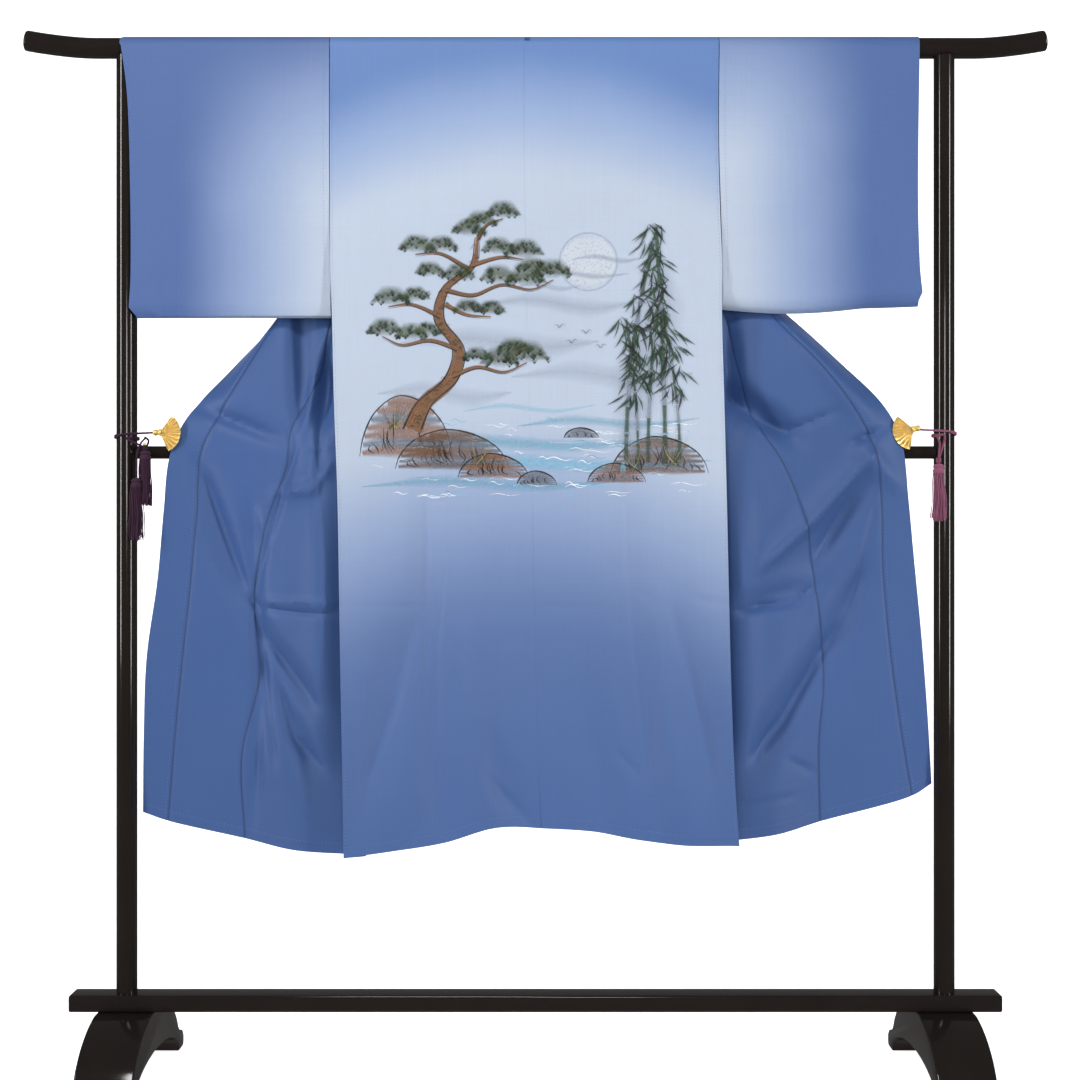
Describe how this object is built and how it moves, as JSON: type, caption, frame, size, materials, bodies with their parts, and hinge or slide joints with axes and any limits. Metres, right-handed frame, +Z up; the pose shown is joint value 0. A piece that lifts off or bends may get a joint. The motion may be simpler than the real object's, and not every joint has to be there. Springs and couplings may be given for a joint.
{
  "type": "juban on a kimono stand",
  "caption": "Men's kimono underrobe hung open over a black lacquered stand, its shaded back with a painted scene to the viewer and its fronts clipped out to the posts.",
  "frame": {"origin": "on the floor under the middle of the stand", "axes": "+X to the right in the picture along the rails, +Y away from the viewer through the garment, +Z up; the garment's back faces -Y"},
  "size_m": [1.7156, 0.41, 1.7643],
  "materials": {
    "silk_back": "satin-smooth plain-weave silk, blue shaded to pale blue-grey",
    "silk_sleeve": "plain-weave silk, blue shaded to pale blue-grey by the shoulder",
    "silk_front": "plain-weave silk, plain medium blue",
    "lacquer": "glossy black lacquer over wood",
    "gold": "polished gold-coloured metal",
    "plum": "dark plum silk cord and tassel",
    "mauve": "mauve silk cord and tassel"
  },
  "bodies": {
    "root": {"back_left": "silk_back", "back_right": "silk_back", "sleeve_left": "silk_sleeve", "sleeve_right": "silk_sleeve", "front_left": "silk_front", "front_right": "silk_front", "overlap_left": "silk_front", "overlap_right": "silk_front", "collar_left": "silk_front", "collar_right": "silk_front", "collar_neck": "silk_front", "top_rail": "lacquer", "mid_rail": "lacquer", "bottom_beam": "lacquer", "post_left": "lacquer", "post_right": "lacquer", "foot_left": "lacquer", "foot_right": "lacquer", "clip_left": "gold", "clip_right": "gold", "cord_left": "plum", "tassel_left_short": "plum", "tassel_left_long": "plum", "cord_right": "mauve", "tassel_right": "mauve"}
  },
  "joints": []
}
